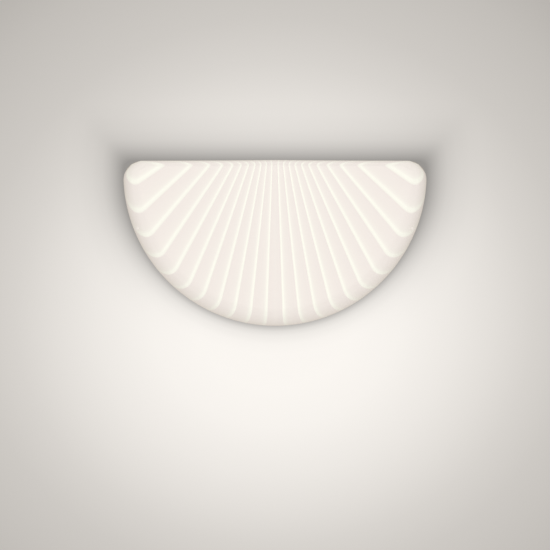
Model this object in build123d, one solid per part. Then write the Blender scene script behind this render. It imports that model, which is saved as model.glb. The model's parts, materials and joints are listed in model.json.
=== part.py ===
# Shell wall light: a half-round opal shade with 23 stepped ribs, floating off the wall on a
# steel tray that holds the driver, the wiring and a half-moon LED board.
# Millimetres. X runs along the wall, +Y into the wall, Z up. The wall is the plane Y = 0 and the
# origin is the centre of the wall bracket. "Depth" below always means distance out from the wall.
from build123d import *
from math import atan2, ceil, cos, pi, radians, sin, sqrt, tan
import os

# ---- shade outline, seen from the front ------------------------------------------------
shade_radius = 200.0          # big lower arc; the shade is twice this wide
arc_centre_z = 70.0           # centre of the big arc above the bracket's centre
top_edge_rise = 17.7          # straight top edge above that centre
corner_radius = 26.0          # upper corners
# ---- shade depth and ribs --------------------------------------------------------------
rim_depth = 15.0              # gap between the wall and the shade's back rim
shade_depth = 74.0            # wall to the front of the centre rib
rib_step = 1.7                # each rib's face lies this much behind the one nearer the centre
rib_edge_step = 0.12          # and its outline this much inside the outline of that rib
ribs_each_side = 11
shade_wall = 2.8
rim_band = 2.5                # plain band round the rim that the ribs die into
rim_band_proud = 0.15         # and how far it stands outside them
arc_roll = 26.0               # how far in from the outline the lower arc rolls into the front
top_roll = 11.0               # the same along the top edge
inner_step_offset = 3.0       # inside steps lie this far outboard, leaving a thin bright web
fan_rise = 90.6               # the ribs fan out from a point this far above the top edge
fan_pitch = 6.48              # angle between riser planes, about the leaning fan axis
fan_lean = 37.4               # lean of the fan axis off the vertical
# ---- shade fixing ----------------------------------------------------------------------
blade_thickness = 2.5
blade_reach = 24.0            # from the shade's outline inwards
blade_height = 17.0
blade_lead_in = 5.1           # corner cut off the blade's inner end so that it finds its clip
side_blade_angle = 22.0       # side blades, below the horizontal through the arc's centre
top_blade_x = 100.0
clip_sheet = 0.6
clip_length = 11.0
clip_leg = 10.0
grip_gap = 0.3                # clip leg to blade, each side
seat_gap = 0.3                # blade end to clip base
clip_tail = 8.0               # part of the clip base that carries the rivet
rivet_radius = 1.5
rivet_head_radius = 2.6
rivet_head = 0.8
# ---- tray and gasket -------------------------------------------------------------------
tray_inset = 50.0             # from the shade's outline, round the arc
tray_top_inset = 13.0
tray_front_depth = 28.0
tray_sheet = 1.2
tray_hem = 8.0
gasket_thickness = 3.0
gasket_width = 9.0
# ---- wall bracket ----------------------------------------------------------------------
bracket_length = 124.0
bracket_height = 40.0
bracket_sheet = 2.0
slot_spacing = 60.0
slot_length = 12.0
slot_width = 5.0
cable_bore_radius = 5.0
grommet_wall = 3.0
grommet_flange = 2.0
grommet_flange_thickness = 1.5
bracket_corner = 6.0
lip_height = 4.0              # turned-out lips along the bracket's long edges
lip_end_gap = 12.0            # lip to the bracket's end
post_x = 50.0
post_across_flats = 8.0
post_shank_radius = 2.5
# ---- screws: thread radius, head radius, head height --------------------------------------
body_screw = (2.0, 4.0, 2.6)
small_screw = (1.5, 2.75, 1.9)
body_screw_reach = 12.0
body_screw_clearance = 0.3
head_chamfer = 0.3            # shares of the head's height and radius
recess_depth = 0.55
recess_reach = 0.55
recess_half_width = 0.14
# ---- reflector -------------------------------------------------------------------------
reflector_sheet = 1.0
reflector_gap = 4.2           # reflector edge to the inside of the shade
window_gap = 1.0              # round the LED board
reflector_rivet_ring = 139.0
reflector_rivet_angles = (20.0, 68.0, 112.0, 160.0)
light_slot_inner = 156.0      # curved slot that lets light down on to the wall
light_slot_outer = 184.0
light_slot_half_angle = 38.0
# ---- LED board -------------------------------------------------------------------------
board_radius = 125.0
board_top_inset = 30.0        # below the shade's top edge
board_thickness = 1.6
pad_thickness = 0.5
pad_margin = 4.0
pad_hole_margin = 1.0
chip_size = 3.0
chip_height = 0.8
chip_pitch = 19.0
chip_rings = (24.0, 46.0, 68.0, 92.0)
screw_window = 6.0            # radius of the holes over the body screws
board_screw_ring = 114.0
board_screw_angles = (12.0, 62.0, 118.0, 168.0)
# ---- driver ----------------------------------------------------------------------------
driver_length = 140.0
driver_width = 36.0
driver_height = 18.0
driver_lid_sheet = 1.5
driver_z = 47.0
driver_corner = 3.0
driver_lid_chamfer = 0.5
driver_tab = 9.0
driver_tab_x = 60.0
driver_tab_sheet = 2.0
screw_tab_width = 12.0
end_block = (11.0, 22.0, 12.0)       # length, width, height of the driver's end terminals
# ---- terminal block --------------------------------------------------------------------
block_x = 32.0
block_rise = 34.0             # above the lowest edge of the tray
block_height = 12.0
block_width = 22.0            # along Z
pole_pitch = 9.6
block_end_wall = 0.7
lever_width = 8.2
lever_length = 13.0
lever_sheet = 2.4
lever_gap = 0.3
lever_hub_radius = 2.0
lever_hub_proud = 0.3         # hub stands this far out of the block
lever_hub_edge = 2.2          # hub to the block's lower edge
lever_grip = (2.0, 0.8)       # length and height of the raised end
lever_pin_radius = 1.0
pin_running_gap = 0.05
wire_hole_radius = 1.7
wire_hole_depth = 6.0
wire_row = 3.4                # wire holes above the tray's floor
block_tab = 9.0
# ---- leads -----------------------------------------------------------------------------
mains_lead = 2.4              # outside diameter
board_lead = 1.6
lead_hole_x = -94.0
lead_hole_z = 30.0
lead_grommet_bore = 2.9
lead_grommet_wall = 1.4
lead_grommet_flange = 1.2
lead_grommet_lip = 1.0        # flange thickness, and how far the sleeve stands through
plug_in = 3.0                 # how far the board leads go into the plug
connector = (8.0, 9.0, 4.0)   # along X, along Z, height
connector_drop = 15.0         # lead hole to the connector's centre
lane = 5.0                    # half the spacing of a pair of leads where they run apart
# ---- earth point -----------------------------------------------------------------------
earth_x = -72.0
earth_rise = 38.0             # above the lowest edge of the tray
lug_sheet = 0.8
lug_radius = 4.0
lug_neck = 7.0
lug_barrel = 8.0
lug_barrel_wall = 0.5
washer_margin = 0.5           # washer past the screw head
washer_thickness = 0.8

# ---- sizes that follow ------------------------------------------------------------------
tray_floor_depth = tray_front_depth - tray_sheet       # inner face of the tray's floor
top_edge_z = arc_centre_z + top_edge_rise
tray_low_z = arc_centre_z - shade_radius + tray_inset
block_z = tray_low_z + block_rise
earth_z = tray_low_z + earth_rise
clip_base_depth = tray_front_depth + reflector_sheet
blade_end_depth = clip_base_depth + clip_sheet + seat_gap
board_depth = tray_front_depth + pad_thickness
board_front = board_depth + board_thickness
pole_x = [block_x + i * pole_pitch for i in (-1, 0, 1)]
block_length = 3 * pole_pitch + 2 * block_end_wall
block_back = tray_floor_depth - block_height           # face towards the wall
lever_pin_depth = block_back + lever_hub_radius - lever_hub_proud
lever_pin_z = block_z - block_width / 2 + lever_hub_radius + lever_hub_edge


def out_from_wall(depth):
    """Plane parallel to the wall; its X and Y are the row's X and Z, its normal points out."""
    return Plane(origin=(0, -depth, 0), x_dir=(1, 0, 0), z_dir=(0, -1, 0))


def point(x, depth, z):
    return Vector(x, -depth, z)


def sheet(sketch, depth, thickness):
    return extrude(out_from_wall(depth) * sketch, amount=thickness)


def disc(x, z, radius):
    return Pos(x, z) * Circle(radius)


def outline(side_inset, top_inset):
    """Half-round face: straight top, two corner arcs and the big lower arc."""
    radius = shade_radius - side_inset
    top = top_edge_rise - top_inset
    corner = max(corner_radius - (side_inset + top_inset) / 2, corner_radius / 4)
    corner_z = top - corner
    corner_x = sqrt((radius - corner) ** 2 - corner_z**2)
    tangent = atan2(corner_z, corner_x)
    middle = (tangent + pi / 2) / 2
    top_end = (corner_x, top)
    bend = (corner_x + corner * cos(middle), corner_z + corner * sin(middle))
    arc_end = (radius * cos(tangent), radius * sin(tangent))

    def right(place):
        return Vector(place[0], place[1] + arc_centre_z)

    def left(place):
        return Vector(-place[0], place[1] + arc_centre_z)

    edges = [
        Edge.make_line(right(top_end), left(top_end)),
        Edge.make_three_point_arc(left(top_end), left(bend), left(arc_end)),
        Edge.make_three_point_arc(left(arc_end), left((0, -radius)), right(arc_end)),
        Edge.make_three_point_arc(right(arc_end), right(bend), right(top_end)),
    ]
    return Sketch() + Face(Wire(edges))


def on_arc(radius, angle):
    """Point on a circle about the arc's centre; the angle is measured down from +X."""
    return radius * cos(radians(angle)), arc_centre_z - radius * sin(radians(angle))


# ---- shade -------------------------------------------------------------------------------
roll_stations = (0, 20, 38, 53, 67, 79, 90)   # where the rolled edge is sectioned, in degrees


def rib_depth(rib):
    return shade_depth - rib_step * rib


def pillow(rib, wall):
    """The whole half-round form at one rib's depth, its sides rolling into a flat front."""
    sections = []
    edge = wall + rim_band_proud + rib_edge_step * rib
    for station in roll_stations:
        roll = 1 - cos(radians(station))
        height = rim_depth + (rib_depth(rib) - wall - rim_depth) * sin(radians(station))
        ring = outline(edge + (arc_roll - wall / 2) * roll, edge + (top_roll - wall / 2) * roll)
        sections.append(out_from_wall(height) * ring.face())
    return loft(sections, ruled=True)


def riser_plane(rib, offset):
    """Plane between a rib and the one before it. All risers turn about a fan axis that leans
    back, so each riser runs outwards as it goes back to the rim."""
    turn = radians((rib - 0.5) * fan_pitch)
    lean = radians(fan_lean)
    square = Vector(0, cos(lean), -sin(lean))
    along = square * cos(turn) + Vector(sin(turn), 0, 0)
    normal = along.cross(Vector(0, -sin(lean), -cos(lean))).normalized()
    if normal.X < 0:
        normal = -normal
    apex = point(0, rib_depth(rib - 1), top_edge_z + fan_rise)
    return Plane(origin=apex + normal * offset, z_dir=normal)


def half_fan(wall, offset, last_rib):
    """Right-hand half of the ribbed form: one slice of pillow between each pair of risers,
    all standing in the rim band."""
    band = sheet(outline(wall, wall), rim_depth, rim_band)
    slices = [split(band, bisect_by=Plane.YZ, keep=Keep.TOP)]
    for rib in range(last_rib + 1):
        face_rib = ribs_each_side if rib == last_rib else rib
        piece = pillow(face_rib, wall)
        inner = riser_plane(rib, offset) if rib else Plane.YZ
        piece = split(piece, bisect_by=inner, keep=Keep.TOP)
        if rib < last_rib:
            piece = split(piece, bisect_by=riser_plane(rib + 1, offset), keep=Keep.BOTTOM)
        slices.append(piece)
    return slices[0].fuse(*slices[1:])


def blade_places():
    """Where a blade meets its clip: x, z and the direction pointing in from the outline."""
    places = []
    for side in (-1, 1):
        x, z = on_arc(shade_radius, side_blade_angle)
        places.append((side * x, z, 180 - side_blade_angle if side > 0 else side_blade_angle))
        places.append((side * top_blade_x, top_edge_z, -90))
    return places


def blade_frame(x, z, inwards, depth):
    """Plane on the blade's line: its X runs in from the outline, its normal out from the wall."""
    base = out_from_wall(depth)
    return base * Pos(x, z) * Rot(0, 0, inwards)


def make_shade():
    outer = half_fan(0, 0, ribs_each_side)
    hollow = half_fan(shade_wall, inner_step_offset, ribs_each_side - 1)
    half = outer - hollow
    shell = half.fuse(mirror(half, about=Plane.YZ))
    for x, z, inwards in blade_places():
        # the blade's outer edge leans in with the rolled side, and ends inside the wall
        profile = Polyline(
            (shade_wall / 2, 0),
            (blade_reach, 0),
            (blade_reach, blade_height - blade_lead_in),
            (blade_reach - blade_lead_in, blade_height),
            (shade_wall * 2.2, blade_height),
            close=True,
        )
        face = make_face(Plane.XZ * profile)
        blade = extrude(face, amount=blade_thickness / 2, both=True)
        shell += blade_frame(x, z, inwards, blade_end_depth) * blade
    return shell


# ---- clips that grip the shade's blades ----------------------------------------------------
def clip_inset():
    return blade_reach - clip_length - 1


def rivet_offset():
    return blade_thickness / 2 + grip_gap + clip_sheet + clip_tail / 2


def make_clips():
    clips = []
    gap = blade_thickness / 2 + grip_gap
    for x, z, inwards in blade_places():
        frame = blade_frame(x, z, inwards, clip_base_depth)
        reach = clip_inset() + clip_length / 2
        base_width = 2 * (gap + clip_sheet)
        base = Pos(reach, -clip_tail / 2) * Rectangle(clip_length, base_width + clip_tail)
        base -= Pos(reach, -rivet_offset()) * Circle(rivet_radius)
        clip = extrude(base, amount=clip_sheet)
        for side in (-1, 1):
            leg = Pos(reach, side * (gap + clip_sheet / 2)) * Rectangle(clip_length, clip_sheet)
            clip += extrude(leg, amount=clip_leg)
        clips.append(frame * clip)
    return Compound(children=[c.solid() for c in clips])


def make_rivet(grip):
    """Blind rivet on its own Z: head on top of what it grips, tail flush behind."""
    shank = Cylinder(rivet_radius, grip, align=(Align.CENTER, Align.CENTER, Align.MAX))
    head = Cylinder(rivet_head_radius, rivet_head, align=(Align.CENTER, Align.CENTER, Align.MIN))
    return shank + head


def make_clip_rivets():
    rivets = []
    for x, z, inwards in blade_places():
        frame = blade_frame(x, z, inwards, clip_base_depth + clip_sheet)
        place = Pos(clip_inset() + clip_length / 2, -rivet_offset(), 0)
        rivets.append(frame * place * make_rivet(reflector_sheet + clip_sheet))
    return Compound(children=[r.solid() for r in rivets])


# ---- reflector plate -----------------------------------------------------------------------
def reflector_rivet_places():
    return [on_arc(reflector_rivet_ring, a) for a in reflector_rivet_angles]


def light_slot():
    """Curved slot round the bottom, with round ends."""
    middle = (light_slot_inner + light_slot_outer) / 2
    ends = [on_arc(middle, 90 + side * light_slot_half_angle) for side in (-1, 1)]
    path = ThreePointArc(ends[0], on_arc(middle, 90), ends[1])
    return SlotArc(path, light_slot_outer - light_slot_inner)


def make_reflector():
    edge = shade_wall + reflector_gap
    plate = outline(edge, edge)
    plate -= board_outline(-window_gap)
    plate -= light_slot()
    for x, z in reflector_rivet_places():
        plate -= disc(x, z, rivet_radius)
    plate = sheet(plate, tray_front_depth, reflector_sheet)
    for x, z, inwards in blade_places():
        frame = blade_frame(x, z, inwards, tray_front_depth)
        hole = Pos(clip_inset() + clip_length / 2, -rivet_offset()) * Circle(rivet_radius)
        plate -= frame * extrude(hole, amount=reflector_sheet)
    return plate


def make_reflector_rivets():
    rivets = []
    for x, z in reflector_rivet_places():
        place = out_from_wall(clip_base_depth) * Pos(x, z)
        rivets.append(place * make_rivet(reflector_sheet + tray_sheet))
    return Compound(children=[r.solid() for r in rivets])


# ---- tray, gasket and bracket ----------------------------------------------------------------
def driver_tab_places():
    z = driver_z - driver_width / 2 - driver_tab / 2
    return [(-driver_tab_x, z), (driver_tab_x, z)]


def block_tab_place():
    return block_x + block_length / 2 + block_tab / 2, block_z


def make_tray():
    pan = sheet(outline(tray_inset, tray_top_inset), gasket_thickness,
                tray_front_depth - gasket_thickness)
    pan -= sheet(outline(tray_inset + tray_sheet, tray_top_inset + tray_sheet),
                 gasket_thickness + tray_sheet, tray_floor_depth - gasket_thickness - tray_sheet)
    pan -= sheet(outline(tray_inset + tray_hem, tray_top_inset + tray_hem),
                 gasket_thickness, tray_sheet)
    holes = Sketch()
    for x in (-post_x, post_x):
        holes += disc(x, 0, body_screw[0] + body_screw_clearance)
    for x, z in reflector_rivet_places():
        holes += disc(x, z, rivet_radius)
    for x, z in driver_tab_places() + [block_tab_place()] + board_screw_places():
        holes += disc(x, z, small_screw[0])
    holes += disc(earth_x, earth_z, body_screw[0])
    holes += disc(lead_hole_x, lead_hole_z, lead_grommet_bore + lead_grommet_wall)
    return pan - sheet(holes, tray_floor_depth, tray_sheet)


def make_gasket():
    ring = outline(tray_inset, tray_top_inset)
    ring -= outline(tray_inset + gasket_width, tray_top_inset + gasket_width)
    return sheet(ring, 0, gasket_thickness)


def make_bracket():
    plate = RectangleRounded(bracket_length, bracket_height, bracket_corner)
    for side in (-1, 1):
        plate -= Pos(side * slot_spacing / 2, 0) * SlotOverall(slot_length, slot_width)
        plate -= disc(side * post_x, 0, post_shank_radius)
    plate -= Circle(cable_bore_radius + grommet_wall)
    body = sheet(plate, 0, bracket_sheet)
    # turned-out lips stiffen the long edges
    for side in (-1, 1):
        lip = Pos(0, side * (bracket_height - bracket_sheet) / 2)
        lip *= Rectangle(bracket_length - 2 * lip_end_gap, bracket_sheet)
        body += sheet(lip, bracket_sheet, lip_height)
    return body


def make_posts():
    posts = []
    length = tray_floor_depth - bracket_sheet
    for side in (-1, 1):
        hexagon = RegularPolygon(post_across_flats / 2, 6, major_radius=False)
        place = Pos(side * post_x, 0)
        post = sheet(place * hexagon, bracket_sheet, length)
        post += sheet(place * Circle(post_shank_radius), 0, bracket_sheet)
        post -= sheet(place * Circle(body_screw[0]), tray_floor_depth - body_screw_reach,
                      body_screw_reach)
        posts.append(post)
    return Compound(children=[p.solid() for p in posts])


def make_cable_grommet():
    sleeve = Circle(cable_bore_radius + grommet_wall) - Circle(cable_bore_radius)
    flange = Circle(cable_bore_radius + grommet_wall + grommet_flange) - Circle(cable_bore_radius)
    return sheet(sleeve, 0, bracket_sheet) + sheet(flange, bracket_sheet, grommet_flange_thickness)


# ---- screws ----------------------------------------------------------------------------------
def screw(size, reach):
    """Screw on its own Z, head above its seat, with a cross recess."""
    thread, head, height = size
    body = Cylinder(thread, reach, align=(Align.CENTER, Align.CENTER, Align.MAX))
    cap = Cylinder(head, height, align=(Align.CENTER, Align.CENTER, Align.MIN))
    cap = chamfer(cap.edges().group_by(Axis.Z)[-1], height * head_chamfer)
    long, short = 2 * recess_reach * head, 2 * recess_half_width * head
    recess = Rectangle(long, short) + Rectangle(short, long)
    cap -= Pos(0, 0, height * (1 - recess_depth)) * extrude(recess, amount=height)
    return body + cap


def screws_outwards(places, seat_depth, size, reach):
    """Screws whose heads face away from the wall."""
    made = [out_from_wall(seat_depth) * Pos(x, z) * screw(size, reach) for x, z in places]
    return Compound(children=[s.solid() for s in made])


def screws_inwards(places, seat_depth, size, reach):
    """Screws whose heads face the wall."""
    turned = Rot(180, 0, 0) * screw(size, reach)
    made = [out_from_wall(seat_depth) * Pos(x, z) * turned for x, z in places]
    return Compound(children=[s.solid() for s in made])


# ---- LED board ---------------------------------------------------------------------------------
def board_outline(margin):
    side = shade_radius - board_radius + margin
    return outline(side, board_top_inset + margin)


def board_screw_places():
    return [on_arc(board_screw_ring, a) for a in board_screw_angles]


def board_holes(extra):
    holes = Sketch()
    for x in (-post_x, post_x):
        holes += disc(x, 0, screw_window + extra)
    for x, z in board_screw_places():
        holes += disc(x, z, small_screw[0] + extra)
    holes += disc(lead_hole_x, lead_hole_z, lead_grommet_bore + lead_grommet_wall + window_gap + extra)
    return holes


def make_pad():
    return sheet(board_outline(pad_margin) - board_holes(pad_hole_margin), tray_front_depth, pad_thickness)


def make_board():
    return sheet(board_outline(0) - board_holes(0), board_depth, board_thickness)


def connector_place():
    return lead_hole_x, lead_hole_z - connector_drop


def chip_places():
    """Chips on rings about the arc's centre, leaving out any that meets a hole or the plug."""
    top = top_edge_z - board_top_inset - chip_size
    keep_out = [(x, 0, screw_window) for x in (-post_x, post_x)]
    keep_out += [(x, z, small_screw[1]) for x, z in board_screw_places()]
    keep_out += [(lead_hole_x, lead_hole_z, screw_window), (*connector_place(), connector[1])]
    places = []
    for ring in chip_rings:
        count = ceil(pi * ring / chip_pitch)
        for i in range(count):
            x, z = on_arc(ring, (i + 0.5) * 180 / count)
            clear = all((x - a) ** 2 + (z - b) ** 2 > (r + chip_size) ** 2 for a, b, r in keep_out)
            if z < top and clear:
                places.append((x, z))
    return places


def make_chips():
    made = []
    for x, z in chip_places():
        made.append(sheet(Pos(x, z) * Rectangle(chip_size, chip_size), board_front, chip_height))
    return Compound(children=[c.solid() for c in made])


def make_connector():
    length, width, height = connector
    x, z = connector_place()
    body = sheet(Pos(x, z) * Rectangle(length, width), board_front, height)
    for side in (-1, 1):
        mouth = point(x + side * board_lead_offset(), board_front + height / 2, z + width / 2)
        body -= Pos(mouth) * Cylinder(board_lead / 2, 2 * plug_in)
    return body


def board_lead_offset():
    return board_lead * 0.75


def make_lead_grommet():
    outer = lead_grommet_bore + lead_grommet_wall
    sleeve = Circle(outer) - Circle(lead_grommet_bore)
    flange = Circle(outer + lead_grommet_flange) - Circle(lead_grommet_bore)
    place = Pos(lead_hole_x, lead_hole_z)
    ring = sheet(place * sleeve, tray_floor_depth, tray_sheet + lead_grommet_lip)
    return ring + sheet(place * flange, tray_floor_depth - lead_grommet_lip, lead_grommet_lip)


# ---- driver ------------------------------------------------------------------------------------
def make_driver_case():
    body = Pos(0, driver_z) * RectangleRounded(driver_length, driver_width, driver_corner)
    case = sheet(body, tray_floor_depth - driver_height, driver_height)
    for x, z in driver_tab_places():
        tab = Pos(x, z) * Rectangle(screw_tab_width, driver_tab) - disc(x, z, small_screw[0])
        case += sheet(tab, tray_floor_depth - driver_tab_sheet, driver_tab_sheet)
    return case


def make_driver_lid():
    body = Pos(0, driver_z) * RectangleRounded(driver_length, driver_width, driver_corner)
    lid = sheet(body, tray_floor_depth - driver_height - driver_lid_sheet, driver_lid_sheet)
    return chamfer(lid.edges().group_by(Axis.Y)[-1], driver_lid_chamfer)


def make_end_block(side, radius):
    """Screwless terminal at one end of the driver, with a hole for each lead."""
    length, width, height = end_block
    x = side * (driver_length + length) / 2
    block = sheet(Pos(x, driver_z) * Rectangle(length, width), tray_floor_depth - height, height)
    mouth = driver_length / 2 + length
    for row in (driver_z - lane, driver_z + lane):
        hole = Cylinder(radius, 2 * wire_hole_depth)
        block -= Pos(point(side * mouth, end_block_row_depth(), row)) * Rot(0, 90, 0) * hole
    return block


def end_block_row_depth():
    return tray_floor_depth - end_block[2] / 2


# ---- lever terminal block -------------------------------------------------------------------
def make_terminal_block():
    body = sheet(Pos(block_x, block_z) * Rectangle(block_length, block_width), block_back,
                 block_height)
    pocket_low = lever_pin_z - lever_hub_radius - lever_gap
    pocket_high = lever_pin_z + lever_length + lever_gap
    pocket_depth = lever_pin_depth + lever_hub_radius + lever_gap - block_back
    for x in pole_x:
        pocket = Pos(x, (pocket_low + pocket_high) / 2)
        pocket *= Rectangle(lever_width + 2 * lever_gap, pocket_high - pocket_low)
        body -= sheet(pocket, block_back, pocket_depth)
        for side in (-1, 1):
            mouth = point(x, wire_row_depth(), block_z + side * block_width / 2)
            body -= Pos(mouth) * Cylinder(mains_lead / 2 if side > 0 else wire_hole_radius,
                                          2 * wire_hole_depth)
    body -= Pos(point(block_x, lever_pin_depth, lever_pin_z)) * Rot(0, 90, 0) * (
        Cylinder(lever_pin_radius, block_length)
    )
    x, z = block_tab_place()
    tab = Pos(x, z) * Rectangle(block_tab, screw_tab_width) - disc(x, z, small_screw[0])
    return body + sheet(tab, tray_floor_depth - driver_tab_sheet, driver_tab_sheet)


def wire_row_depth():
    return tray_floor_depth - wire_row


def make_lever_pin():
    return Pos(point(block_x, lever_pin_depth, lever_pin_z)) * Rot(0, 90, 0) * (
        Cylinder(lever_pin_radius, block_length)
    )


def make_lever(x):
    """Flat lever lying in its pocket, hub on the pin, with a raised grip at its free end."""
    plate = Pos(x, lever_pin_z + lever_length / 2) * Rectangle(lever_width, lever_length)
    lever = sheet(plate, block_back, lever_sheet)
    hub = Pos(point(x, lever_pin_depth, lever_pin_z)) * Rot(0, 90, 0)
    lever += hub * Cylinder(lever_hub_radius, lever_width)
    grip_length, grip_height = lever_grip
    grip = Pos(x, lever_pin_z + lever_length - grip_length / 2)
    grip *= Rectangle(lever_width, grip_length)
    lever += sheet(grip, block_back - grip_height, grip_height)
    return lever - hub * Cylinder(lever_pin_radius + pin_running_gap, lever_width)


# ---- earth point ----------------------------------------------------------------------------
def make_earth_lug():
    neck = Pos(earth_x + lug_neck / 2, earth_z) * Rectangle(lug_neck, lug_radius)
    ring = disc(earth_x, earth_z, lug_radius) + neck - disc(earth_x, earth_z, body_screw[0])
    barrel = Pos(lug_mouth() - Vector(lug_barrel / 2, 0, 0)) * Rot(0, 90, 0) * (
        Cylinder(mains_lead / 2 + lug_barrel_wall, lug_barrel)
    )
    bore = Pos(lug_mouth()) * Rot(0, 90, 0) * Cylinder(mains_lead / 2, lug_barrel)
    return sheet(ring, tray_floor_depth - lug_sheet, lug_sheet) + (barrel - bore)


def lug_mouth():
    depth = tray_floor_depth - mains_lead / 2 - lug_barrel_wall
    return point(earth_x + lug_neck + lug_barrel - 1, depth, earth_z)


def make_washer():
    ring = disc(earth_x, earth_z, body_screw[1] + washer_margin) - disc(earth_x, earth_z, body_screw[0])
    return sheet(ring, tray_floor_depth - lug_sheet - washer_thickness, washer_thickness)


# ---- leads ----------------------------------------------------------------------------------
def lead(points, diameter):
    """Round lead along straight runs joined by arcs as large as the runs allow."""
    radii = []
    for before, here, after in zip(points, points[1:], points[2:]):
        turn = radians((here - before).get_angle(after - here))
        shorter = min((here - before).length, (after - here).length)
        radii.append(0.45 * shorter / tan(turn / 2))
    path = FilletPolyline(*points, radius=radii)
    start = Plane(origin=path @ 0, z_dir=path % 0)
    made = sweep(start * Circle(diameter / 2), path=path)
    print(f"lead {path.length:.0f} mm, tightest bend {min(radii):.1f} mm")
    return made


def mains_run(pole, side):
    """From the lever block up the right-hand side to the driver's input end. The outer lead
    (side 1) keeps outside the inner one (side -1) all the way round the bend."""
    start = block_z + block_width / 2 - wire_hole_depth
    mouth = driver_length / 2 + end_block[0] - wire_hole_depth
    apart = side * lane
    depth = end_block_row_depth()
    row = driver_z + apart
    return [
        point(pole, wire_row_depth(), start),
        point(pole, wire_row_depth(), start + 18),
        point(post_x + 22 + apart * 0.6, depth + 1.5, start + 42 - apart * 0.6),
        point(post_x + 48 + apart * 0.6, depth, start + 62 - apart * 0.6),
        point(post_x + 52 + apart * 0.6, depth - 0.5, row - 6),
        point(mouth + 16, depth, row),
        point(mouth, depth, row),
    ]


def earth_run():
    start = block_z + block_width / 2 - wire_hole_depth
    mouth = lug_mouth() - Vector(lug_barrel / 2, 0, 0)
    return [
        point(pole_x[0], wire_row_depth(), start),
        point(pole_x[0], wire_row_depth(), start + 15),
        point(pole_x[0] - 22, wire_row_depth() - 2, start + 20),
        point(pole_x[0] - 50, wire_row_depth() - 2, start + 14),
        mouth + Vector(18, 0, 0),
        mouth,
    ]


def board_run(side):
    """From the driver's output end, through the tray and board, down to the plug. The lead in
    the upper terminal (side 1) keeps outside the other."""
    mouth = -(driver_length / 2 + end_block[0] - wire_hole_depth)
    depth = end_block_row_depth()
    hole_x = lead_hole_x - side * board_lead_offset()
    plug_depth = board_front + connector[2] / 2
    plug_top = connector_place()[1] + connector[1] / 2
    return [
        point(mouth, depth, driver_z + side * lane),
        point(mouth - 13 - side * lane / 2, depth, driver_z + side * lane),
        point(hole_x - 1 - side, depth - 1, lead_hole_z + 8 + side * lane / 2),
        point(hole_x, depth + 1, lead_hole_z),
        point(hole_x, plug_depth, lead_hole_z),
        point(hole_x, plug_depth, plug_top - plug_in),
    ]


# ---- build and save -------------------------------------------------------------------------
nodes = {
    "wall_bracket": make_bracket(),
    "bracket_posts": make_posts(),
    "cable_grommet": make_cable_grommet(),
    "wall_gasket": make_gasket(),
    "body_tray": make_tray(),
    "body_screws": screws_outwards([(-post_x, 0), (post_x, 0)], tray_front_depth, body_screw,
                                   body_screw_reach),
    "driver_case": make_driver_case(),
    "driver_lid": make_driver_lid(),
    "driver_input_block": make_end_block(1, mains_lead / 2),
    "driver_output_block": make_end_block(-1, board_lead / 2),
    "driver_screws": screws_inwards(driver_tab_places(), tray_floor_depth - driver_tab_sheet,
                                    small_screw, driver_tab_sheet + tray_sheet),
    "terminal_block": make_terminal_block(),
    "terminal_block_screw": screws_inwards([block_tab_place()],
                                           tray_floor_depth - driver_tab_sheet, small_screw,
                                           driver_tab_sheet + tray_sheet),
    "lever_pin": make_lever_pin(),
    "lever_earth": make_lever(pole_x[0]),
    "lever_neutral": make_lever(pole_x[1]),
    "lever_live": make_lever(pole_x[2]),
    "earth_lug": make_earth_lug(),
    "earth_washer": make_washer(),
    "earth_screw": screws_inwards([(earth_x, earth_z)],
                                  tray_floor_depth - lug_sheet - washer_thickness, body_screw,
                                  lug_sheet + washer_thickness + tray_sheet),
    "earth_lead": lead(earth_run(), mains_lead),
    "neutral_lead": lead(mains_run(pole_x[1], -1), mains_lead),
    "live_lead": lead(mains_run(pole_x[2], 1), mains_lead),
    "board_lead_minus": lead(board_run(-1), board_lead),
    "board_lead_plus": lead(board_run(1), board_lead),
    "board_lead_grommet": make_lead_grommet(),
    "thermal_pad": make_pad(),
    "led_board": make_board(),
    "led_chips": make_chips(),
    "board_connector": make_connector(),
    "board_screws": screws_outwards(board_screw_places(), board_front, small_screw,
                                    board_front - tray_floor_depth),
    "reflector_plate": make_reflector(),
    "reflector_rivets": make_reflector_rivets(),
    "shade_clips": make_clips(),
    "clip_rivets": make_clip_rivets(),
    "shade_shell": make_shade(),
}

os.makedirs("parts", exist_ok=True)
for name, shape in nodes.items():
    export_step(shape, f"parts/{name}.step")
    print(f"{name}: {len(shape.solids())} solid(s), {shape.volume / 1000:.2f} cm3")
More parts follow.
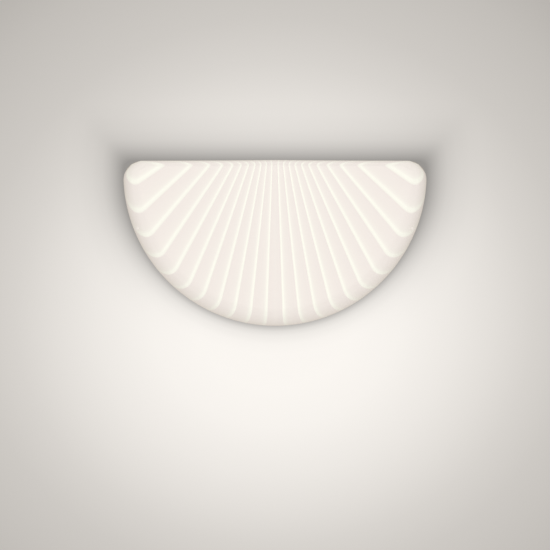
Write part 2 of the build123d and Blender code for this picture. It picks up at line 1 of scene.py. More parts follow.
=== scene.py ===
import bpy
import bmesh
import json
from math import atan2, cos, pi, radians, sin, sqrt, tan
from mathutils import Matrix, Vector


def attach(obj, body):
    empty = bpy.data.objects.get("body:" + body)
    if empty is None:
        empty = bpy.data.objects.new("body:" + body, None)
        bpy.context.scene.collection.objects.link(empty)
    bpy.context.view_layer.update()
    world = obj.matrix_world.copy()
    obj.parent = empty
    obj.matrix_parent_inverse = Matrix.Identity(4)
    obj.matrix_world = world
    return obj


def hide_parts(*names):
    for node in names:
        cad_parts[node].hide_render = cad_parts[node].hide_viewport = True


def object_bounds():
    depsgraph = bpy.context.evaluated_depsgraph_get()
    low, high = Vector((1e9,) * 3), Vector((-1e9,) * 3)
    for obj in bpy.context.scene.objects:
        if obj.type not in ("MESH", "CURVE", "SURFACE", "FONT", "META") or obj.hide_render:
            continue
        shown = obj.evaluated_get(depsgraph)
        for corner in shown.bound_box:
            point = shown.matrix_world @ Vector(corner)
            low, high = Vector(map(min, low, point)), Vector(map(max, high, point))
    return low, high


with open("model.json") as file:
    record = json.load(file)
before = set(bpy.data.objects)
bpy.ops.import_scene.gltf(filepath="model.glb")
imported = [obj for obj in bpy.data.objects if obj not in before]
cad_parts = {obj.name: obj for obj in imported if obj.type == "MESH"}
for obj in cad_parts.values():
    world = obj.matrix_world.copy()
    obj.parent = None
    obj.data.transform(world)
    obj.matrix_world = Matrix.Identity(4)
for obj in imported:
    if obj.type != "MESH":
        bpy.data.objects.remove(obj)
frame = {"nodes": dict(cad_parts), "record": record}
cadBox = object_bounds()
print("frame loaded", len(frame["nodes"]), "nodes")

# the shade's form, in metres; depth always means distance out from the wall
shade = {
    "radius": 0.200,          # big lower arc
    "centreZ": 0.070,         # its centre
    "topRise": 0.0177,        # straight top edge above the centre
    "corner": 0.026,
    "rim": 0.015,             # the back rim's distance from the wall
    "depth": 0.074,           # front of the centre rib
    "step": 0.0017,
    "edgeStep": 0.00008,
    "ribs": 11,
    "arcRoll": 0.0245,
    "topRoll": 0.0093,
    "fullness": 2.1,          # 2 rolls on an ellipse, more keeps the front flat for longer
    "trim": 0.04, "trimFrom": 4.5, "trimTo": 9.5,   # the outer ribs close up a little
    "wall": 0.0028,
    "fanRise": 0.0906,
    "pitch": radians(6.48),
    "lean": radians(37.4),
    "cornerColumns": 9,
    "rollRows": 18,           # rows over each rolled edge
    "frontRows": 14,          # rows down the flat front
    "lipTurn": 0.03,          # rounding at each riser's lip, in ribs
    # the riser's section: places in lipTurns from its plane, heights in shares of the step
    "riserShape": ((-2.5, 1.0), (-1.0, 0.92), (-0.3, 0.70), (0.0, 0.30), (0.7, 0.06), (2.2, 0.0)),
    "faceColumns": ((5, 3), (8, 5)),   # up to which rib, how many columns on each face
    "outerColumns": 10,       # and on the ribs further out
    "touchShares": (0.02, 0.2, 0.5),   # columns just past where the fan leaves the rim
    "endShares": (0.2, 0.4, 0.6, 0.8, 0.92, 0.97, 0.99),   # and towards the last one of all
    "endSlack": 0.1,          # the search for that last one stops this far short of a right angle
    "mapTurns": 24,           # ribs across the width of the UV map
    "merge": 0.00001,
    "rimSlack": 0.0001,
    "smooth": radians(28),
}


# how finely places on the skin are looked for, and how far beyond the outline the search starts
search = {
    "first": 48, "deepest": 30, "narrow": 0.6, "end": 36, "roll": 24, "turn": 34,
    "beyond": 0.001,
}


def deselectAll():
    bpy.ops.object.select_all(action="DESELECT")


def meshObject(name, verts, faces):
    mesh = bpy.data.meshes.new(name)
    mesh.from_pydata(verts, [], faces)
    mesh.update()
    piece = bpy.data.objects.new(name, mesh)
    bpy.context.scene.collection.objects.link(piece)
    return piece


def makeActive(piece):
    deselectAll()
    piece.select_set(True)
    bpy.context.view_layer.objects.active = piece


# the skin's columns are planes of the fan, its rows are places along each plane's section
def outlineInside(x, z, inset, topInset):   # how far a point lies inside the half-round outline
    radius = shade["radius"] - inset
    top = shade["topRise"] - topInset
    corner = max(shade["corner"] - (inset + topInset) / 2, shade["corner"] / 4)
    cornerZ = top - corner
    cornerX = sqrt((radius - corner) ** 2 - cornerZ ** 2)
    px, pz = abs(x), z - shade["centreZ"]
    if px > cornerX and atan2(pz, px) > atan2(cornerZ, cornerX):
        return corner - sqrt((px - cornerX) ** 2 + (pz - cornerZ) ** 2)
    return min(top - pz, radius - sqrt(px * px + pz * pz))


def ribFront(rib):
    return shade["depth"] - shade["step"] * rib


def fanApexDepth(turn):   # depth at which a fan plane passes the point above the top edge
    if turn <= 0.5:
        return ribFront(0)
    return ribFront(turn - 0.5)


def sectionX(turn, depth, z):
    apexZ = shade["centreZ"] + shade["topRise"] + shade["fanRise"]
    reach = (apexZ - z) * sin(shade["lean"]) + (fanApexDepth(turn) - depth) * cos(shade["lean"])
    out = min(max((turn - shade["trimFrom"]) / (shade["trimTo"] - shade["trimFrom"]), 0.0), 1.0)
    return reach * tan(turn * shade["pitch"]) * (1 - shade["trim"] * out)


def sectionEnds(turn, front, roll, inset):   # where a fan plane meets one station of the edge
    power = 2 / shade["fullness"]
    depth = shade["rim"] + (front - shade["rim"]) * sin(roll) ** power
    side = inset + shade["arcRoll"] * (1 - max(cos(roll), 0.0) ** power)
    top = inset + shade["topRoll"] * (1 - max(cos(roll), 0.0) ** power)

    def inside(z):
        return outlineInside(sectionX(turn, depth, z), z, side, top)

    high = shade["centreZ"] + shade["topRise"] - top
    low = shade["centreZ"] - shade["radius"] + side
    steps = search["first"]
    best = max((low + (high - low) * i / steps for i in range(steps + 1)), key=inside)
    width = (high - low) / steps
    for _ in range(search["deepest"]):        # close in on the deepest place
        width *= search["narrow"]
        best = max((best - width, best, best + width), key=inside)
    if inside(best) < 0:
        return None
    ends = []
    for outer in (high + search["beyond"], low - search["beyond"]):
        good, bad = best, outer
        for _ in range(search["end"]):
            middle = (good + bad) / 2
            if inside(middle) >= 0:
                good = middle
            else:
                bad = middle
        ends.append(good)
    return depth, ends[0], ends[1]


def column(turn, front, inset):   # from the rim at the top to the rim at the bottom
    lowRoll = 0.0
    if sectionEnds(turn, front, pi / 2, inset) is None:
        return None
    if sectionEnds(turn, front, 0.0, inset) is None:
        good, bad = pi / 2, 0.0               # this plane leaves the form before the rim
        for _ in range(search["roll"]):
            middle = (good + bad) / 2
            if sectionEnds(turn, front, middle, inset):
                good = middle
            else:
                bad = middle
        lowRoll = good
    rows = shade["rollRows"]
    sides = []
    for i in range(rows + 1):
        roll = lowRoll + (pi / 2 - lowRoll) * i / rows
        ends = sectionEnds(turn, front, roll, inset)
        if ends is None:
            return None
        sides.append(ends)
    top = [(sectionX(turn, d, zt), -d, zt) for d, zt, zb in sides]
    bottom = [(sectionX(turn, d, zb), -d, zb) for d, zt, zb in sides]
    if lowRoll:
        bottom[0] = top[0]
    first, last = Vector(top[-1]), Vector(bottom[-1])
    face = [tuple(first.lerp(last, i / shade["frontRows"])) for i in range(1, shade["frontRows"])]
    return top + face + bottom[::-1]


def columnPlan():   # fan turns in ribs, front depths, and a small round at each riser's lip and foot
    plan = [(0.0, ribFront(0), 0), (0.25, ribFront(0), 0)]
    for rib in range(1, shade["ribs"] + 1):
        riser = rib - 0.5
        low = ribFront(rib)
        step = ribFront(rib - 1) - low
        for place, share in shade["riserShape"]:
            side = rib - 1 if place < 0 else rib
            plan.append((riser + shade["lipTurn"] * place, low + step * share, side))
        between = next((count for last, count in shade["faceColumns"] if rib <= last),
                       shade["outerColumns"])
        plan += [(riser + (i + 0.5) / between, low, rib) for i in range(between)]
    return plan


def lastTurn(start, end, meets):   # the last fan plane for which meets is true
    for _ in range(search["turn"]):
        middle = (start + end) / 2
        if meets(middle):
            start = middle
        else:
            end = middle
    return start


def skinHalf(inset, drop):   # right half; drop lowers it by the wall for the inside
    columns = []
    before = None
    for turn, front, rib in columnPlan():
        front -= drop
        edge = inset + shade["edgeStep"] * rib
        meets = sectionEnds(turn, front, 0.0, edge) is not None
        if before is not None and before[1] and not meets:
            start = before[0]
            end = lastTurn(start, turn, lambda t: sectionEnds(t, front, 0.0, edge) is not None)
            for i in range(1, shade["cornerColumns"]):   # closer and closer to where it touches
                at = end - (end - start) * (1 - i / shade["cornerColumns"]) ** 2
                columns.append((at, column(at, front, edge)))
            for share in shade["touchShares"]:
                at = end + (turn - end) * share
                columns.append((at, column(at, front, edge)))
        points = column(turn, front, edge)
        if points:
            columns.append((turn, points))
        before = (turn, meets)
    turn, front = columns[-1][0], ribFront(shade["ribs"]) - drop
    edge = inset + shade["edgeStep"] * shade["ribs"]
    furthest = pi / 2 / shade["pitch"] - shade["endSlack"]
    last = lastTurn(turn, furthest, lambda t: column(t, front, edge))
    for share in shade["endShares"]:
        at = turn + (last - turn) * share
        columns.append((at, column(at, front, edge)))
    return [(turn, points) for turn, points in columns if points]


def skinGrid(inset, drop, flip):
    right = skinHalf(inset, drop)
    left = [(-turn, [(-x, y, z) for x, y, z in points]) for turn, points in right[:0:-1]]
    columns = left + right
    rows = len(columns[0][1])
    verts = [point for turn, points in columns for point in points]
    turns = [turn for turn, points in columns for point in points]
    faces = []
    for c in range(len(columns) - 1):
        for r in range(rows - 1):
            a = c * rows + r
            quad = (a, a + rows, a + rows + 1, a + 1)
            faces.append(quad[::-1] if flip else quad)
    return verts, faces, turns, rows


def makeShadeSkin():
    outer, outerFaces, outerTurns, rows = skinGrid(0.0, 0.0, False)
    inner, innerFaces, innerTurns, rows = skinGrid(shade["wall"], shade["wall"], True)
    shift = len(outer)
    faces = outerFaces + [tuple(i + shift for i in face) for face in innerFaces]
    skin = meshObject("shadeSkin", outer + inner, faces)
    turns = outerTurns + innerTurns
    mesh = skin.data
    layer = mesh.uv_layers.new(name="ribMap")
    for poly in mesh.polygons:
        for loop in poly.loop_indices:
            vert = mesh.loops[loop].vertex_index
            layer.data[loop].uv = (turns[vert] / shade["mapTurns"] + 0.5, (vert % rows) / (rows - 1))
    work = bmesh.new()
    work.from_mesh(mesh)
    bmesh.ops.remove_doubles(work, verts=work.verts, dist=shade["merge"])
    bmesh.ops.dissolve_degenerate(work, edges=work.edges, dist=shade["merge"])
    back = -shade["rim"] - shade["rimSlack"]
    ends = [e for e in work.edges if e.is_boundary and max(v.co.y for v in e.verts) < back]
    bmesh.ops.holes_fill(work, edges=ends, sides=0)
    rim = [e for e in work.edges if e.is_boundary]
    bmesh.ops.triangle_fill(work, use_beauty=True, edges=rim, normal=(0.0, 1.0, 0.0))
    bmesh.ops.recalc_face_normals(work, faces=work.faces)
    work.to_mesh(mesh)
    work.free()
    return skin


blade = {
    "reach": 0.024, "height": 0.017, "leadIn": 0.0051, "thick": 0.0025,
    "foot": 0.0014,           # how far in from the outline its outer edge starts, in the wall
    "lean": 0.0062,           # and where that edge ends
    "depth": 0.0299, "sideAngle": radians(22), "topX": 0.100,
    "round": 0.0003,
    "touch": 1e-6,            # two places nearer than this are one
}


def bladePlaces():   # where a blade meets the outline, and the turn from +X to inwards
    places = []
    for side in (-1, 1):
        x = shade["radius"] * cos(blade["sideAngle"]) * side
        z = shade["centreZ"] - shade["radius"] * sin(blade["sideAngle"])
        places.append((x, z, pi - blade["sideAngle"] if side > 0 else blade["sideAngle"]))
        places.append((blade["topX"] * side, shade["centreZ"] + shade["topRise"], -pi / 2))
    return places


def addBlade(x, z, inwards):
    bpy.ops.mesh.primitive_cube_add(size=1.0)
    piece = bpy.context.object
    piece.name = "shadeBlade"
    profile = {   # sides of the cube: inner or outer end, near the wall or towards the front
        (False, False): (blade["foot"], 0.0),
        (True, False): (blade["reach"], 0.0),
        (False, True): (blade["lean"], blade["height"]),
        (True, True): (blade["reach"], blade["height"]),
    }
    for vert in piece.data.vertices:
        along, up = profile[(vert.co.x > 0, vert.co.z > 0)]
        side = blade["thick"] / 2 * (1 if vert.co.y > 0 else -1)
        vert.co = (x + along * cos(inwards) - side * sin(inwards),
                   -blade["depth"] - up,
                   z + along * sin(inwards) + side * cos(inwards))
    work = bmesh.new()
    work.from_mesh(piece.data)
    corner = []
    for edge in work.edges:
        near = all(abs(v.co.y + blade["depth"] + blade["height"]) < blade["touch"]
                   for v in edge.verts)
        inner = all((v.co.x - x) * cos(inwards) + (v.co.z - z) * sin(inwards)
                    > blade["reach"] - blade["touch"] for v in edge.verts)
        if near and inner:
            corner.append(edge)
    bmesh.ops.bevel(work, geom=corner, offset=blade["leadIn"], segments=1, affect="EDGES",
                    clamp_overlap=False)
    bmesh.ops.recalc_face_normals(work, faces=work.faces)
    work.to_mesh(piece.data)
    work.free()
    soft = piece.modifiers.new("soft", "BEVEL")
    soft.width = blade["round"]
    soft.segments = 2
    makeActive(piece)
    bpy.ops.object.modifier_apply(modifier="soft")
    return piece


skin = makeShadeSkin()
blades = [addBlade(*place) for place in bladePlaces()]
makeActive(skin)
bpy.ops.object.shade_smooth_by_angle(angle=shade["smooth"])
deselectAll()
for piece in blades:
    piece.select_set(True)
skin.select_set(True)
bpy.context.view_layer.objects.active = skin
bpy.ops.object.join()
deselectAll()
print("shade skin", len(skin.data.vertices), "vertices")


def newMaterial(name):
    material = bpy.data.materials.new(name)
    material.use_nodes = True
    tree = material.node_tree
    return material, tree, tree.nodes["Principled BSDF"]


def node(tree, kind, **settings):
    made = tree.nodes.new(kind)
    for key, value in settings.items():
        if hasattr(made, key):
            setattr(made, key, value)
        else:
            made.inputs[key.replace("_", " ")].default_value = value
    return made


def objectNoise(tree, scale, detail=4.0, stretch=None):   # stretch gives a brushed grain
    place = node(tree, "ShaderNodeTexCoord")
    source = place.outputs["Object"]
    if stretch:
        mapping = node(tree, "ShaderNodeMapping")
        mapping.inputs["Scale"].default_value = stretch
        tree.links.new(source, mapping.inputs["Vector"])
        source = mapping.outputs["Vector"]
    noise = node(tree, "ShaderNodeTexNoise")
    noise.inputs["Scale"].default_value = scale
    noise.inputs["Detail"].default_value = detail
    tree.links.new(source, noise.inputs["Vector"])
    return noise.outputs["Fac"]


def ramp(tree, source, stops):
    made = node(tree, "ShaderNodeValToRGB")
    elements = made.color_ramp.elements
    while len(elements) < len(stops):
        elements.new(0.5)
    for element, (place, colour) in zip(elements, stops):
        element.position = place
        element.color = (*colour, 1.0)
    tree.links.new(source, made.inputs["Fac"])
    return made.outputs["Color"]


def shades(colour, spread):   # three tones round a colour, for a ramp over noise
    low = tuple(max(c * (1 - spread), 0.0) for c in colour)
    high = tuple(min(c * (1 + spread), 1.0) for c in colour)
    return [(0.3, low), (0.5, colour), (0.7, high)]


def maths(tree, operation, first, second=None, third=None):
    made = node(tree, "ShaderNodeMath", operation=operation)
    for socket, value in zip(made.inputs, (first, second, third)):
        if isinstance(value, (int, float)):
            socket.default_value = value
        elif value is not None:
            tree.links.new(value, socket)
    return made.outputs[0]


def mixColours(tree, factor, first, second):
    made = node(tree, "ShaderNodeMix", data_type="RGBA")
    for socket, value in ((made.inputs[0], factor), (made.inputs[6], first),
                          (made.inputs[7], second)):
        if isinstance(value, (int, float)):
            socket.default_value = value
        elif isinstance(value, tuple):
            socket.default_value = (*value, 1.0)
        else:
            tree.links.new(value, socket)
    return made.outputs[2]


def bump(tree, height, strength, distance):
    made = node(tree, "ShaderNodeBump")
    made.inputs["Strength"].default_value = strength
    made.inputs["Distance"].default_value = distance
    tree.links.new(height, made.inputs["Height"])
    return made.outputs["Normal"]


grainDepth = 0.0002   # metres that the bump of every finish stands for
patches = 12          # how many times coarser a finish's patches of colour are than its grain

# name: colour, metallic, roughness low and high, grain scale, stretch, bump, colour spread
finishes = {
    "white_steel": ((0.80, 0.80, 0.78), 0.0, 0.42, 0.55, 1400, None, 0.10, 0.02),
    "reflector_white": ((0.86, 0.86, 0.84), 0.0, 0.55, 0.70, 1100, None, 0.06, 0.02),
    "galvanised_steel": ((0.50, 0.51, 0.52), 0.9, 0.32, 0.50, 90, None, 0.05, 0.14),
    "screw_steel": ((0.56, 0.56, 0.54), 1.0, 0.22, 0.40, 420, None, 0.04, 0.08),
    "spring_steel": ((0.48, 0.48, 0.48), 1.0, 0.24, 0.38, 300, (1, 1, 12), 0.04, 0.08),
    "rivet_aluminium": ((0.68, 0.68, 0.69), 1.0, 0.30, 0.45, 500, None, 0.05, 0.06),
    "tinned_brass": ((0.66, 0.62, 0.50), 1.0, 0.25, 0.42, 380, None, 0.04, 0.10),
    "black_rubber": ((0.035, 0.035, 0.036), 0.0, 0.60, 0.80, 700, None, 0.20, 0.15),
    "grey_foam": ((0.16, 0.165, 0.17), 0.0, 0.85, 0.98, 1600, None, 0.60, 0.25),
    "thermal_pad": ((0.36, 0.42, 0.48), 0.0, 0.60, 0.75, 800, None, 0.15, 0.06),
    "driver_plastic": ((0.78, 0.78, 0.76), 0.0, 0.45, 0.60, 900, None, 0.18, 0.02),
    "terminal_plastic": ((0.62, 0.63, 0.62), 0.0, 0.35, 0.50, 900, None, 0.08, 0.03),
    "clear_grey_plastic": ((0.40, 0.42, 0.44), 0.0, 0.12, 0.25, 600, None, 0.03, 0.04),
    "lever_plastic": ((0.80, 0.23, 0.02), 0.0, 0.25, 0.38, 800, None, 0.06, 0.04),
    "connector_plastic": ((0.80, 0.78, 0.70), 0.0, 0.35, 0.50, 900, None, 0.08, 0.03),
    "white_board": ((0.84, 0.85, 0.83), 0.0, 0.28, 0.42, 1200, None, 0.03, 0.015),
    "neutral_sleeve": ((0.02, 0.09, 0.42), 0.0, 0.38, 0.52, 900, None, 0.06, 0.08),
    "live_sleeve": ((0.15, 0.055, 0.02), 0.0, 0.38, 0.52, 900, None, 0.06, 0.08),
    "black_sleeve": ((0.015, 0.015, 0.016), 0.0, 0.38, 0.52, 900, None, 0.06, 0.10),
    "red_sleeve": ((0.45, 0.012, 0.010), 0.0, 0.38, 0.52, 900, None, 0.06, 0.08),
}


def finish(name):
    colour, metallic, smooth, rough, scale, stretch, height, spread = finishes[name]
    material, tree, shader = newMaterial(name)
    noise = objectNoise(tree, scale, 4.0, stretch)
    wide = objectNoise(tree, scale / patches, 3.0, stretch)
    tree.links.new(ramp(tree, wide, shades(colour, spread)), shader.inputs["Base Color"])
    grey = [(0.3, (smooth,) * 3), (0.7, (rough,) * 3)]
    tree.links.new(ramp(tree, noise, grey), shader.inputs["Roughness"])
    tree.links.new(bump(tree, noise, height, grainDepth), shader.inputs["Normal"])
    shader.inputs["Metallic"].default_value = metallic
    return material


earth = {
    "green": (0.46, (0.10, 0.36, 0.03)), "yellow": (0.54, (0.82, 0.66, 0.03)),
    "stripes": 260.0, "waver": 0.4, "grain": 900, "bump": 0.06, "roughness": 0.42,
}


def earthSleeve():   # green with yellow stripes along it
    material, tree, shader = newMaterial("earth_sleeve")
    place = node(tree, "ShaderNodeTexCoord")
    wave = node(tree, "ShaderNodeTexWave")
    wave.bands_direction = "DIAGONAL"
    wave.inputs["Scale"].default_value = earth["stripes"]
    wave.inputs["Distortion"].default_value = earth["waver"]
    tree.links.new(place.outputs["Object"], wave.inputs["Vector"])
    stripes = ramp(tree, wave.outputs["Fac"], [earth["green"], earth["yellow"]])
    tree.links.new(stripes, shader.inputs["Base Color"])
    noise = objectNoise(tree, earth["grain"])
    tree.links.new(bump(tree, noise, earth["bump"], grainDepth), shader.inputs["Normal"])
    shader.inputs["Roughness"].default_value = earth["roughness"]
    return material


phosphor = {
    "deep": (0.35, (1.0, 0.80, 0.48)), "pale": (0.65, (1.0, 0.90, 0.66)),
    "grain": 2500, "light": 0.9, "roughness": 0.35,
}


def ledPhosphor():
    material, tree, shader = newMaterial("led_phosphor")
    noise = objectNoise(tree, phosphor["grain"])
    colour = ramp(tree, noise, [phosphor["deep"], phosphor["pale"]])
    tree.links.new(colour, shader.inputs["Base Color"])
    tree.links.new(colour, shader.inputs["Emission Color"])
    shader.inputs["Emission Strength"].default_value = phosphor["light"]
    shader.inputs["Roughness"].default_value = phosphor["roughness"]
    return material


glow = {
    "rib": (0.905, 0.838, 0.792),          # lit rib where it is darkest, before the next riser
    "line": (1.0, 0.990, 0.895),           # painted glow: bright line beside each riser
    "rim": (0.520, 0.460, 0.395),          # painted shade towards the back rim
    "shallow": 0.016, "deep": 0.069,       # depths between which the rim's shade fades out
    "deep step": 0.0016,                   # how much sooner on each rib further out
    "base": 0.26,                          # how much of the colour is left to the room's light
    "centre share": 0.5,
    "grain": 900, "bump": 0.02, "roughness": 0.45, "specular": 0.25,
    "line stops": ((0.0, 1.0), (0.10, 1.0), (0.17, 0.58), (0.26, 0.30), (0.42, 0.16),
                   (0.70, 0.05), (0.965, 0.0), (0.995, 0.8)),
}


def opalShadePaintedGlow():   # painted glow, as if lit from inside: each rib is brightest beside its riser and fades across, with painted shade towards the back rim
    material, tree, shader = newMaterial("opal_shade")
    links = tree.links
    uv = node(tree, "ShaderNodeUVMap", uv_map="ribMap")
    split = node(tree, "ShaderNodeSeparateXYZ")
    links.new(uv.outputs["UV"], split.inputs["Vector"])
    turn = maths(tree, "ABSOLUTE", maths(tree, "MULTIPLY", maths(
        tree, "SUBTRACT", split.outputs["X"], 0.5), shade["mapTurns"]))
    rib = maths(tree, "ADD", turn, 0.5)
    share = maths(tree, "FRACT", rib)
    centre = maths(tree, "LESS_THAN", rib, 1.0)
    share = maths(tree, "MAXIMUM", share, maths(tree, "MULTIPLY", centre, glow["centre share"]))
    stops = [(place, (level,) * 3) for place, level in glow["line stops"]]
    line = ramp(tree, share, stops)
    # painted glow lines beside each riser
    face = mixColours(tree, line, glow["rib"], glow["line"])
    place = node(tree, "ShaderNodeTexCoord")
    coords = node(tree, "ShaderNodeSeparateXYZ")
    links.new(place.outputs["Object"], coords.inputs["Vector"])
    depth = node(tree, "ShaderNodeMapRange")
    links.new(maths(tree, "MULTIPLY", coords.outputs["Y"], -1.0), depth.inputs["Value"])
    depth.inputs["From Min"].default_value = glow["shallow"]
    links.new(maths(tree, "SUBTRACT", glow["deep"], maths(
        tree, "MULTIPLY", maths(tree, "FLOOR", rib), glow["deep step"])), depth.inputs["From Max"])
    # painted shade on the rolled edge towards the back rim
    body = mixColours(tree, depth.outputs["Result"], glow["rim"], face)
    # the painted glow and shade are given as emission
    links.new(body, shader.inputs["Emission Color"])
    shader.inputs["Emission Strength"].default_value = 1 - glow["base"]
    links.new(mixColours(tree, 1 - glow["base"], body, (0.0, 0.0, 0.0)),
              shader.inputs["Base Color"])
    grain = objectNoise(tree, glow["grain"])
    links.new(bump(tree, grain, glow["bump"], grainDepth), shader.inputs["Normal"])
    shader.inputs["Roughness"].default_value = glow["roughness"]
    shader.inputs["Specular IOR Level"].default_value = glow["specular"]
    return material


made = {name: finish(name) for name in finishes}
made["earth_sleeve"] = earthSleeve()
made["led_phosphor"] = ledPhosphor()
made["opal_shade"] = opalShadePaintedGlow()
slots = {part["node"]: part["material_slot"] for part in frame["record"]["subparts"]}
for name, slot in slots.items():
    piece = frame["nodes"][name]
    for place in piece.material_slots:
        place.material = made[slot]
    if not piece.material_slots:
        piece.data.materials.append(made[slot])
skin.data.materials.append(made["opal_shade"])
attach(skin, "shade")
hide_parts("shade_shell")
print("materials set on", len(slots), "nodes")

# level and straight on, from far enough that the ribs keep their fan
view = {
    "pixel": 0.001314,        # metres that one pixel of the photograph shows at the wall
    "frame": 550,
    "objectRow": 243.0,       # the pixel row of the object's middle
    "distance": 5.0, "sensor": 36.0, "clip": 50.0,
}


def addCamera():
    box = cadBox
    middle = (box[0][2] + box[1][2]) / 2
    drop = (view["frame"] / 2 - view["objectRow"]) * view["pixel"]
    data = bpy.data.cameras.new("camera")
    data.sensor_width = view["sensor"]
    data.lens = view["sensor"] * view["distance"] / (view["pixel"] * view["frame"])
    data.clip_end = view["clip"]
    camera = bpy.data.objects.new("camera", data)
    camera.location = (0.0, -view["distance"] - shade["rim"], middle - drop)
    camera.rotation_euler = (pi / 2, 0.0, 0.0)
    bpy.context.scene.collection.objects.link(camera)
    bpy.context.scene.camera = camera
    return camera


addCamera()

backdrop = {
    "wall": (0.60, 0.575, 0.55),           # what the object sees
    "wall share": 0.97,                    # the rest of what it sees is the painted glow and shadow
    "roughness": 0.9,
    # painted glow: the wall's brightness against the distance from the glow's brightest place, as
    # levels on the screen
    "far": ((0.0, 255), (0.18, 255), (0.28, 251), (0.41, 240), (0.50, 230), (0.59, 218),
            (0.69, 207), (0.86, 195), (1.0, 180)),
    "far tint": (0, 4, 9),                 # levels that red, green and blue lie below that
    "far centre": -0.122, "far radius": 0.578, "far squash": 1.15,
    # painted shadow: shares of that glow beside the light, against the distance from its outline
    "near": ((0.0, 0.65), (0.06, 0.72), (0.14, 0.79), (0.25, 0.865), (0.37, 0.92), (0.55, 0.96),
             (0.8, 0.99), (1.0, 1.0)),
    "near below": ((0.0, 0.73), (0.05, 0.83), (0.10, 0.905), (0.18, 0.955), (0.33, 0.99),
                   (0.5, 1.0)),
    "near power": 2.2,
    "near reach": 0.075,
    "below": (0.1, 1.0),                   # where the near shares turn into those below the light
    "soft corner": 0.02,
    "own light": 0.92,                     # share of the painted glow and shadow that the camera sees; the rest comes from the lamps and keeps the shadow
}


def screenTone(level):   # a level as seen on the screen, as the linear value of a ramp
    return ((level / 255 + 0.055) / 1.055) ** 2.4


def wallPaintedGlowAndShadow(tree):   # the light's glow on the wall below it, and a soft shadow round it
    place = node(tree, "ShaderNodeTexCoord")
    coords = node(tree, "ShaderNodeSeparateXYZ")
    tree.links.new(place.outputs["Object"], coords.inputs["Vector"])
    across = coords.outputs["X"]

    def distance(up):
        return maths(tree, "SQRT", maths(tree, "ADD", maths(tree, "MULTIPLY", across, across),
                                         maths(tree, "MULTIPLY", up, up)))

    fromGlow = maths(tree, "SUBTRACT", coords.outputs["Z"], backdrop["far centre"])
    squashed = maths(tree, "MINIMUM", fromGlow, maths(
        tree, "MULTIPLY", fromGlow, backdrop["far squash"]))
    share = maths(tree, "DIVIDE", distance(squashed), backdrop["far radius"])
    stops = [(at, tuple(screenTone(level - tint) for tint in backdrop["far tint"]))
             for at, level in backdrop["far"]]
    far = ramp(tree, share, stops)
    up = maths(tree, "SUBTRACT", coords.outputs["Z"], shade["centreZ"])
    radius = distance(up)
    away = maths(tree, "SMOOTH_MAX", maths(tree, "SUBTRACT", radius, shade["radius"]),
                 maths(tree, "SUBTRACT", up, shade["topRise"]), backdrop["soft corner"])
    near = maths(tree, "DIVIDE", away, backdrop["near reach"])
    tones = []
    for name in ("near", "near below"):
        stops = [(at, (level ** backdrop["near power"],) * 3) for at, level in backdrop[name]]
        tones.append(ramp(tree, near, stops))
    down = node(tree, "ShaderNodeMapRange", interpolation_type="SMOOTHSTEP")
    tree.links.new(maths(tree, "DIVIDE", maths(tree, "MULTIPLY", up, -1.0), radius),
                   down.inputs["Value"])
    down.inputs["From Min"].default_value = backdrop["below"][0]
    down.inputs["From Max"].default_value = backdrop["below"][1]
    # painted glow times painted shadow
    paintedGlowTimesShadow = node(tree, "ShaderNodeMix", data_type="RGBA", blend_type="MULTIPLY")
    paintedGlowTimesShadow.inputs[0].default_value = 1.0
    tree.links.new(far, paintedGlowTimesShadow.inputs[6])
    tree.links.new(mixColours(tree, down.outputs["Result"], *tones), paintedGlowTimesShadow.inputs[7])
    return paintedGlowTimesShadow.outputs[2]


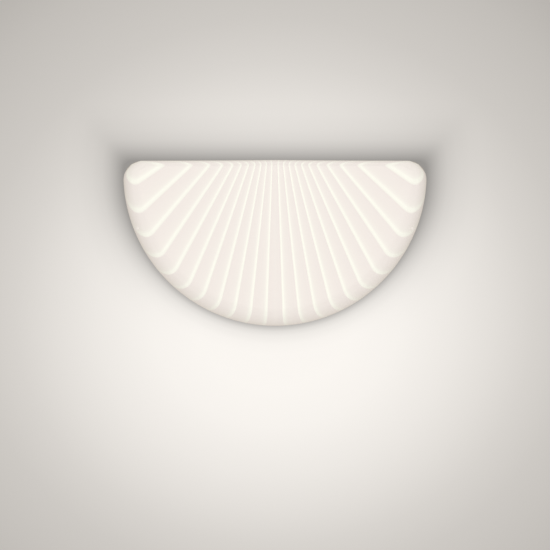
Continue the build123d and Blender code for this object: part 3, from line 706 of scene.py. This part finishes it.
def wallMaterial():   # painted glow and shadow for the camera, plain paint for the object, clear from behind
    material, tree, shader = newMaterial("stage_wall")
    links = tree.links
    shader.inputs["Roughness"].default_value = backdrop["roughness"]
    shader.inputs["Specular IOR Level"].default_value = 0.0
    paintedGlowAndShadow = wallPaintedGlowAndShadow(tree)
    look = node(tree, "ShaderNodeEmission")
    look.inputs["Strength"].default_value = 1.0
    links.new(paintedGlowAndShadow, look.inputs["Color"])
    paint = mixColours(tree, backdrop["wall share"], paintedGlowAndShadow, backdrop["wall"])
    links.new(paint, shader.inputs["Base Color"])
    path = node(tree, "ShaderNodeLightPath")
    seen = maths(tree, "MAXIMUM", path.outputs["Is Camera Ray"], maths(
        tree, "MAXIMUM", path.outputs["Is Glossy Ray"], path.outputs["Is Transmission Ray"]))
    front = node(tree, "ShaderNodeMixShader")
    links.new(maths(tree, "MULTIPLY", seen, backdrop["own light"]), front.inputs["Fac"])
    links.new(shader.outputs["BSDF"], front.inputs[1])
    links.new(look.outputs["Emission"], front.inputs[2])
    clear = node(tree, "ShaderNodeBsdfTransparent")
    side = node(tree, "ShaderNodeNewGeometry")
    both = node(tree, "ShaderNodeMixShader")
    links.new(side.outputs["Backfacing"], both.inputs["Fac"])
    links.new(front.outputs["Shader"], both.inputs[1])
    links.new(clear.outputs["BSDF"], both.inputs[2])
    links.new(both.outputs["Shader"], tree.nodes["Material Output"].inputs["Surface"])
    return material


def addPlane(name, size, place, turn, material):   # lies in the mesh, so the object is at 0
    bpy.ops.mesh.primitive_plane_add(size=size, location=place, rotation=turn)
    plane = bpy.context.object
    plane.name = name
    bpy.ops.object.transform_apply(location=True, rotation=True, scale=True)
    plane.data.materials.append(material)
    return plane


stage = {
    "wallSize": 6.0, "wallGap": 0.0005, "floorSize": 8.0, "floorZ": -1.5,
    "floor": (0.75, 0.74, 0.72), "floorGrain": 30.0, "floorSpread": 0.004,
}


def floorMaterial():
    material, tree, shader = newMaterial("stage_floor")
    shader.inputs["Roughness"].default_value = backdrop["roughness"]
    noise = objectNoise(tree, stage["floorGrain"])
    tones = ramp(tree, noise, shades(stage["floor"], stage["floorSpread"]))
    tree.links.new(tones, shader.inputs["Base Color"])
    return material


addPlane("stageWall", stage["wallSize"], (0, stage["wallGap"], 0), (pi / 2, 0, 0), wallMaterial())
addPlane("stageFloor", stage["floorSize"], (0, 0, stage["floorZ"]), (0, 0, 0), floorMaterial())


def areaLamp(name, place, aim, size, power, colour):
    data = bpy.data.lights.new(name, "AREA")
    data.shape = "DISK"
    data.size = size
    data.energy = power
    data.color = colour
    lamp = bpy.data.objects.new(name, data)
    lamp.location = place
    lamp.rotation_euler = (Vector(aim) - Vector(place)).to_track_quat("-Z", "Y").to_euler()
    bpy.context.scene.collection.objects.link(lamp)
    return lamp


light = {
    "place": (0.0, -3.0, 0.6), "aim": (0.0, 0.0, 0.0), "size": 3.0, "power": 45.0,
    "colour": (1.0, 0.98, 0.95),
    "room": (1.0, 0.985, 0.97), "roomStrength": 0.45,
}

areaLamp("softFront", light["place"], light["aim"], light["size"], light["power"], light["colour"])
world = bpy.data.worlds.new("room")
bpy.context.scene.world = world
world.use_nodes = True
sky = world.node_tree.nodes["Background"]
sky.inputs["Color"].default_value = (*light["room"], 1)
sky.inputs["Strength"].default_value = light["roomStrength"]
bpy.context.scene.view_settings.view_transform = "Standard"
print("stage and light ready")
